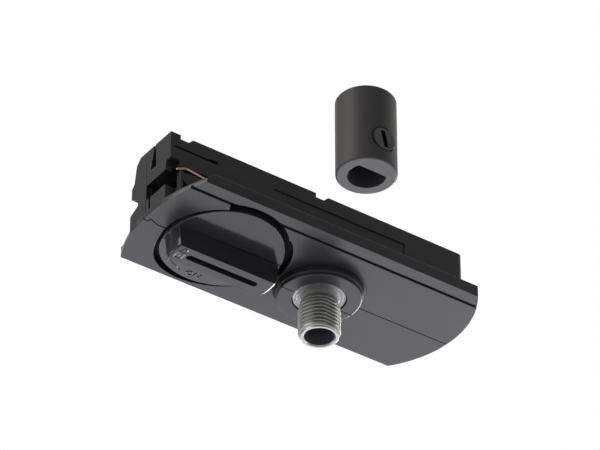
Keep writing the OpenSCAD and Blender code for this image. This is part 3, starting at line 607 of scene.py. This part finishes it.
hollow = {
    "pocketReach": 17.6 * mm,
    "pocketLow": -2.85 * mm,
    "pocketRoof": -0.9 * mm,
    "low": (-41.2, -8.5, -1.5),  # the insert less its skin, in mm
    "high": (41.4, 8.1, 15.8),
    "filletReach": (10.2 * mm, 11.2 * mm),  # about the nipple's axis
    "filletLow": -3.8 * mm,
    "filletTop": -2.91 * mm,
    "seam": (0.72 * mm, 1.08 * mm),
    "seamTop": 0.3 * mm,
    "tongueEnd": -38.9 * mm,
    "tongueSide": -7.1 * mm,
    "tongueGap": 0.05 * mm,
    "roofTilt": -0.9,  # parts of a face's normal
    "wallTilt": 0.4,
    "tongueTilt": -0.7,
    "seamTilt": 0.25,
}


def inPocket(face):
    out = face.center - knobAxis
    out.z = 0
    inDepth = hollow["pocketLow"] < face.center.z < hollow["pocketRoof"]
    if out.length > hollow["pocketReach"] or not inDepth:
        return False
    if face.normal.z < hollow["roofTilt"]:
        return True
    return abs(face.normal.z) < hollow["wallTilt"] and face.normal.dot(out) < 0


def inInsert(face):
    if face.center.x < hollow["tongueEnd"] and face.normal.y < hollow["tongueTilt"]:
        return False
    return all(hollow["low"][i] < face.center[i] / mm < hollow["high"][i] for i in range(3))


def inSeam(face):
    low, high = hollow["seam"]
    upright = abs(face.normal.y) > hollow["seamTilt"]
    return upright and low < face.center.y < high and face.center.z < hollow["seamTop"]


def inBossFillet(face):
    out = face.center - nippleMid
    out.z = 0
    low, high = hollow["filletReach"]
    return low < out.length < high and hollow["filletLow"] < face.center.z < hollow["filletTop"]


def besideTongue(face):
    atEnd = face.center.x < hollow["tongueEnd"] + hollow["tongueGap"]
    return atEnd and face.center.y < hollow["tongueSide"]


def paintHollowShade():
    for node in ("near_shell", "far_shell"):
        mesh = broken[node].data
        mesh.materials.append(insideShade)
        mesh.materials.append(recessShade)
        for face in mesh.polygons:
            # index 1 is the near-black painted shade, index 2 the dim painted shade
            if inPocket(face) or inSeam(face):
                face.material_index = 1
            elif inInsert(face):
                face.material_index = 2 if besideTongue(face) else 1
            elif inBossFillet(face):
                face.material_index = 2


paintHollowShade()
print("hollows dulled")

# The grip's lower face is turned bare

gripEnd = {"facesDown": -0.9, "skin": 0.1 * mm}
collar = broken["cord_grip"]
collar.data.materials.append(gripFace)
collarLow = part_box("cord_grip")[0].z
for face in collar.data.polygons:
    if face.normal.z < gripEnd["facesDown"] and face.center.z < collarLow + gripEnd["skin"]:
        face.material_index = 1

# Painted shade on the clamp screw: its side all round, and at the lower left also its chamfer and the collar's
# hole around it


def atLowerLeft(face):
    out = face.center - clampMid
    return out.x < 0 or out.z < -clampReach / 2


def paintClampShade():
    plug = broken["clamp_screw"].data
    plug.materials.append(insideShade)
    for face in plug.polygons:
        tilt = clampEnd["chamferTilt"] if atLowerLeft(face) else clampEnd["sideTilt"]
        if abs(face.normal.y) < tilt:
            face.material_index = 1
    around = collar.data
    around.materials.append(insideShade)
    for face in around.polygons:
        corners = [around.vertices[v].co for v in face.vertices]
        if atLowerLeft(face) and inClampHole(corners):
            face.material_index = 2


paintClampShade()
print("grip faced, clamp shaded")

# Nipple with a cut thread

thread = {
    "crest": 5.0 * mm,
    "depth": 0.58 * mm,
    "sharpDepth": 0.8 * mm,  # before the crests are cut flat
    "runOut": 2.2 * mm,
    "pitch": 1.0 * mm,
    "flat": 0.25 * mm,
    "chamfer": 0.5 * mm,
    "chamferLength": 1.2 * mm,
    "bore": 3.55 * mm,
    "mouth": 0.3 * mm,
    "shoulder": 6.2 * mm,
    "shoulderFace": -5.7 * mm,
    "shoulderTop": -1.7 * mm,
    "neck": 4.3 * mm,
    "neckLength": 1.3 * mm,
    "endLength": 0.1 * mm,
    "endBreak": 0.05 * mm,
    "stopsShort": 0.7,  # of a pitch, before the neck
    "pointsPerTurn": 72,
    "pointsAcross": 32,
    "pointsRound": 96,
    "touch": 0.01 * mm,
    "smoothTo": 35,
}


def makeThreadTree():
    tree = bpy.data.node_groups.new("threadRidge", "GeometryNodeTree")
    panel = tree.interface
    kinds = {
        "NodeSocketFloat": [
            "Root radius", "Depth", "Pitch", "Length", "Widest", "Taper end", "Taper slope",
            "Run-out start", "Run-out slope", "Flat at",
        ],
        "NodeSocketInt": ["Points per turn", "Points across"],
        "NodeSocketVector": ["Axis"],
        "NodeSocketMaterial": ["Finish"],
    }
    for kind, labels in kinds.items():
        for label in labels:
            panel.new_socket(label, in_out="INPUT", socket_type=kind)
    panel.new_socket("Geometry", in_out="OUTPUT", socket_type="NodeSocketGeometry")
    put, link = tree.nodes.new, tree.links.new
    given, out = put("NodeGroupInput"), put("NodeGroupOutput")
    value = given.outputs

    def maths(what, a, b):
        return mathNode(tree, what, a, b)

    helix = put("GeometryNodeCurveSpiral")
    link(value["Points per turn"], helix.inputs["Resolution"])
    link(maths("DIVIDE", value["Length"], value["Pitch"]), helix.inputs["Rotations"])
    link(value["Root radius"], helix.inputs["Start Radius"])
    link(value["Root radius"], helix.inputs["End Radius"])
    link(value["Length"], helix.inputs["Height"])
    upright = put("GeometryNodeSetCurveNormal")
    upright.mode = "Z_UP"
    link(helix.outputs["Curve"], upright.inputs["Curve"])
    ridge = put("GeometryNodeCurvePrimitiveQuadrilateral")
    ridge.mode = "KITE"
    link(maths("MULTIPLY", value["Depth"], 2.0), ridge.inputs["Width"])
    for label in ("Bottom Height", "Top Height"):
        link(maths("MULTIPLY", value["Pitch"], 0.5), ridge.inputs[label])
    fine = put("GeometryNodeResampleCurve")
    link(ridge.outputs["Curve"], fine.inputs["Curve"])
    link(value["Points across"], fine.inputs["Count"])
    sweep = put("GeometryNodeCurveToMesh")
    sweep.inputs["Fill Caps"].default_value = True
    link(upright.outputs["Curve"], sweep.inputs["Curve"])
    link(fine.outputs["Curve"], sweep.inputs["Profile Curve"])
    # crests are held back by the end taper, the run-out and the flat
    place = put("GeometryNodeInputPosition")
    part = put("ShaderNodeSeparateXYZ")
    link(place.outputs[0], part.inputs[0])
    flatXY = put("ShaderNodeCombineXYZ")
    link(part.outputs["X"], flatXY.inputs["X"])
    link(part.outputs["Y"], flatXY.inputs["Y"])
    reach = put("ShaderNodeVectorMath")
    reach.operation = "LENGTH"
    link(flatXY.outputs[0], reach.inputs[0])
    fromEnd = maths("SUBTRACT", part.outputs["Z"], value["Taper end"])
    taper = maths("MULTIPLY", maths("MINIMUM", fromEnd, 0.0), value["Taper slope"])
    pastStart = maths("MAXIMUM", maths("SUBTRACT", part.outputs["Z"], value["Run-out start"]), 0.0)
    fade = maths("MULTIPLY", pastStart, value["Run-out slope"])
    limit = maths("SUBTRACT", maths("ADD", value["Widest"], taper), fade)
    squeeze = maths("MINIMUM", maths("DIVIDE", limit, reach.outputs["Value"]), 1.0)
    held = put("ShaderNodeCombineXYZ")
    link(maths("MULTIPLY", part.outputs["X"], squeeze), held.inputs["X"])
    across = maths("MULTIPLY", part.outputs["Y"], squeeze)
    link(maths("MAXIMUM", across, value["Flat at"]), held.inputs["Y"])
    link(part.outputs["Z"], held.inputs["Z"])
    trim = put("GeometryNodeSetPosition")
    link(sweep.outputs["Mesh"], trim.inputs["Geometry"])
    link(held.outputs[0], trim.inputs["Position"])
    move = put("GeometryNodeTransform")
    link(trim.outputs["Geometry"], move.inputs["Geometry"])
    link(value["Axis"], move.inputs["Translation"])
    real = put("GeometryNodeRealizeInstances")
    link(move.outputs["Geometry"], real.inputs["Geometry"])
    coat = put("GeometryNodeSetMaterial")
    link(real.outputs["Geometry"], coat.inputs["Geometry"])
    link(value["Finish"], coat.inputs["Material"])
    link(coat.outputs["Geometry"], out.inputs["Geometry"])
    return tree


threadTree = makeThreadTree()


def threadMesh(name, values):
    piece = bpy.data.objects.new(name, bpy.data.meshes.new(name))
    bpy.context.scene.collection.objects.link(piece)
    make = piece.modifiers.new("thread", "NODES")
    make.node_group = threadTree
    for socket in threadTree.interface.items_tree:
        if socket.in_out == "INPUT":
            make[socket.identifier] = values[socket.name]
    settle(piece)
    return piece


def turned(bm, profile, axis, steps):  # closed ring section turned round an upright axis
    rings = []
    for radius, z in profile:
        ring = []
        for i in range(steps):
            turn = 2 * pi * i / steps
            place = (axis.x + radius * cos(turn), axis.y + radius * sin(turn), z)
            ring.append(bm.verts.new(place))
        rings.append(ring)
    for a, b in zip(rings, rings[1:] + rings[:1]):
        for i in range(steps):
            j = (i + 1) % steps
            bm.faces.new((a[i], a[j], b[j], b[i]))


def makeNipple():
    low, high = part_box("cable_nipple")
    t = thread
    root = t["crest"] - t["depth"]
    neckEnd = t["shoulderFace"] - t["neckLength"]
    axis = Vector((nippleMid.x, nippleMid.y, 0))
    profile = [
        (t["bore"], high.z), (t["crest"], high.z), (t["crest"], t["shoulderTop"]),
        (t["shoulder"], t["shoulderTop"]), (t["shoulder"], t["shoulderFace"]),
        (t["neck"], t["shoulderFace"]), (t["neck"], neckEnd), (root, neckEnd - root + t["neck"]),
        (root, low.z + t["endLength"]), (root - t["endBreak"], low.z),
        (t["bore"] + t["mouth"], low.z), (t["bore"], low.z + t["mouth"]),
    ]
    length = neckEnd - low.z - t["stopsShort"] * t["pitch"]
    ridge = threadMesh("nippleThread", {
        "Root radius": root, "Depth": t["sharpDepth"], "Pitch": t["pitch"], "Length": length,
        "Axis": Vector((nippleMid.x, nippleMid.y, low.z + t["pitch"] / 2)),
        "Points per turn": t["pointsPerTurn"], "Widest": t["crest"],
        "Taper end": t["chamferLength"] - t["pitch"] / 2,
        "Taper slope": t["chamfer"] / t["chamferLength"],
        "Run-out start": length - t["runOut"], "Run-out slope": t["depth"] / t["runOut"],
        "Flat at": t["flat"] - t["crest"], "Points across": t["pointsAcross"], "Finish": zincSteel,
    })
    bm = bmesh.new()
    bm.from_mesh(ridge.data)
    turned(bm, profile, axis, t["pointsRound"])
    bmesh.ops.recalc_face_normals(bm, faces=bm.faces)
    mesh = bpy.data.meshes.new("threadedNipple")
    bm.to_mesh(mesh)
    bm.free()
    bpy.data.objects.remove(ridge)
    shadeByAngle(mesh, t["smoothTo"])
    piece = addPiece("threadedNipple", mesh, zincSteel, bodyOf["cable_nipple"])
    mesh.materials.append(shoulderMarksAndShade)
    mesh.materials.append(boreSteelPaintedShade)
    mesh.materials.append(neckSteelPaintedLight)
    for face in mesh.polygons:
        out = face.center - axis
        out.z = 0
        onNeck = neckEnd < face.center.z < t["shoulderFace"]
        # the shoulder ring takes tool marks with painted shade, the bore a dark bluish copy of the steel
        if abs(face.center.z - t["shoulderFace"]) < t["touch"]:
            face.material_index = 1
        elif out.length < t["bore"] + t["touch"]:
            face.material_index = 2
        # the neck takes the lighter copy of the steel: painted light
        elif onNeck and out.length < t["neck"] + t["touch"]:
            face.material_index = 3
    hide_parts("cable_nipple")
    return piece


nipple = makeNipple()
print("nipple threaded:", len(nipple.data.polygons), "faces")

# Female thread in the upper end of the cord grip

gripThread = {
    "radius": 5.1 * mm,
    "depth": 0.5 * mm,
    "length": 8.0 * mm,
    "below": 0.5 * mm,
    "noLimit": 1.0,  # far past the thread, so nothing is trimmed
}


def makeGripThread():
    t = gripThread
    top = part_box("cord_grip")[1].z
    ridge = threadMesh("collarThread", {
        "Root radius": t["radius"], "Depth": t["depth"], "Pitch": thread["pitch"],
        "Length": t["length"],
        "Axis": Vector((gripMid.x, gripMid.y, top - t["below"] - t["length"])),
        "Points per turn": thread["pointsPerTurn"], "Points across": thread["pointsAcross"],
        "Widest": t["noLimit"], "Flat at": -t["noLimit"], "Taper end": 0.0, "Taper slope": 0.0,
        "Run-out start": 0.0, "Run-out slope": 0.0, "Finish": gripSatin,
    })
    shadeByAngle(ridge.data, thread["smoothTo"])
    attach(ridge, bodyOf["cord_grip"])


makeGripThread()
print("grip threaded")

# Raised marks on the knob: ON, a turn arrow with a dot, a lock sign

marks = {
    "height": 0.2 * mm,
    "line": 0.5 * mm,
    "ridge": 0.15,  # share of the width left at the top of a line
    "onSize": 2.5 * mm,
    "onBevel": 0.09 * mm,
    "onPlace": (0.2, 12.3),  # places are from the knob's axis, in mm
    "arrowRadius": 12.6 * mm,
    "arrowFrom": 131,
    "arrowTo": 111,
    "arrowSteps": 14,
    "wingAngle": 35,
    "wingLength": 1.1 * mm,
    "dotPlace": (-3.7, 12.1),
    "dotHalf": 0.2 * mm,
    "dotWidth": 0.4 * mm,
    "lockPlace": (-11.26, -0.78),
    "lockSize": (1.9, 2.3),
    "keyhole": (0.3, 0.7),  # shares of the lock's height
    "hoop": 1.6,
    "hoopWidth": 0.7,  # share of the lock's width
    "hoopStep": 15,
    "sunk": 0.03 * mm,
    "rimFace": -2.9 * mm,
    "discFall": 1.0 * mm,
    "discRadius": 14.5 * mm,
    "barHalf": 2.95 * mm,
    "smoothTo": 30,
}


def layOnDisc(bm):  # the disc's face falls from the bar to its rim
    m = marks
    for v in bm.verts:
        inward = m["discRadius"] - abs(v.co.y - knobAxis.y)
        v.co.z -= m["discFall"] * inward / (m["discRadius"] - m["barHalf"])


def stroke(bm, points, width, z0, z1):  # raised line along flat points
    rows = []
    for i, p in enumerate(points):
        ahead = points[min(i + 1, len(points) - 1)] - points[max(i - 1, 0)]
        side = Vector((-ahead.y, ahead.x)).normalized() * width / 2
        top = side * marks["ridge"]
        section = [(p + side, z0), (p - side, z0), (p - top, z1), (p + top, z1)]
        rows.append([bm.verts.new((place.x, place.y, z)) for place, z in section])
    for a, b in zip(rows, rows[1:]):
        for i in range(4):
            j = (i + 1) % 4
            bm.faces.new((a[i], a[j], b[j], b[i]))
    bm.faces.new(rows[0])
    bm.faces.new(list(reversed(rows[-1])))


def onWord(near, far):
    m = marks
    words = bpy.data.curves.new("onWord", "FONT")
    words.body = "ON"
    words.size = m["onSize"]
    words.bevel_depth = m["onBevel"]
    words.bevel_resolution = 0
    words.align_x = "CENTER"
    words.align_y = "CENTER"
    words.extrude = (m["height"] + m["sunk"]) / 2 - m["onBevel"]
    holder = bpy.data.objects.new("onWord", words)
    bpy.context.scene.collection.objects.link(holder)
    bpy.context.view_layer.update()
    seen = holder.evaluated_get(bpy.context.evaluated_depsgraph_get())
    word = bpy.data.meshes.new_from_object(seen)
    x, y = m["onPlace"]
    place = Vector((knobAxis.x + x * mm, knobAxis.y + y * mm, (near + far) / 2))
    word.transform(Matrix.Translation(place) @ Matrix.Rotation(pi, 4, "X"))
    bpy.data.objects.remove(holder)
    return word


def turnArrow(bm, axis, near, far):
    m = marks
    arc = []
    for i in range(m["arrowSteps"] + 1):
        share = i / m["arrowSteps"]
        turn = radians(m["arrowFrom"] + (m["arrowTo"] - m["arrowFrom"]) * share)
        arc.append(axis + m["arrowRadius"] * Vector((cos(turn), sin(turn))))
    stroke(bm, arc, m["line"], near, far)
    tip = arc[0]
    back = (arc[2] - tip).normalized()
    for side in (-1, 1):
        wing = Matrix.Rotation(side * radians(m["wingAngle"]), 2) @ back
        stroke(bm, [tip, tip + wing * m["wingLength"]], m["line"], near, far)
    dot = axis + Vector(m["dotPlace"]) * mm
    half = Vector((m["dotHalf"], 0))
    stroke(bm, [dot - half, dot + half], m["dotWidth"], near, far)


def lockSign(bm, axis, near, far):  # across the bar: a body with an open hoop
    m = marks
    centre = axis + Vector(m["lockPlace"]) * mm
    w, h = m["lockSize"][0] * mm / 2, m["lockSize"][1] * mm
    corners = [Vector((-w, 0)), Vector((w, 0)), Vector((w, h)), Vector((-w, h))]
    for a, b in zip(corners, corners[1:] + corners[:1]):
        stroke(bm, [centre + a, centre + b], m["line"], near, far)
    stroke(bm, [centre + Vector((0, h * share)) for share in m["keyhole"]], m["line"], near, far)
    hoop = []
    for turn in range(0, 181, m["hoopStep"]):
        x = w * m["hoopWidth"] * cos(radians(turn))
        y = -m["hoop"] * mm * sin(radians(turn))
        hoop.append(centre + Vector((x, y)))
    stroke(bm, hoop, m["line"], near, far)


def makeMarks():
    m = marks
    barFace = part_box("lock_knob")[0].z
    axis = Vector((knobAxis.x, knobAxis.y))
    onRim = (m["rimFace"] + m["sunk"], m["rimFace"] - m["height"])
    onBar = (barFace + m["sunk"], barFace - m["height"])
    bm = bmesh.new()
    bm.from_mesh(onWord(*onRim))
    turnArrow(bm, axis, *onRim)
    layOnDisc(bm)
    lockSign(bm, axis, *onBar)
    bmesh.ops.recalc_face_normals(bm, faces=bm.faces)
    mesh = bpy.data.meshes.new("knobMarks")
    bm.to_mesh(mesh)
    bm.free()
    shadeByAngle(mesh, m["smoothTo"])
    addPiece("knobMarks", mesh, markGloss, "knob")


makeMarks()
print("knob marked")
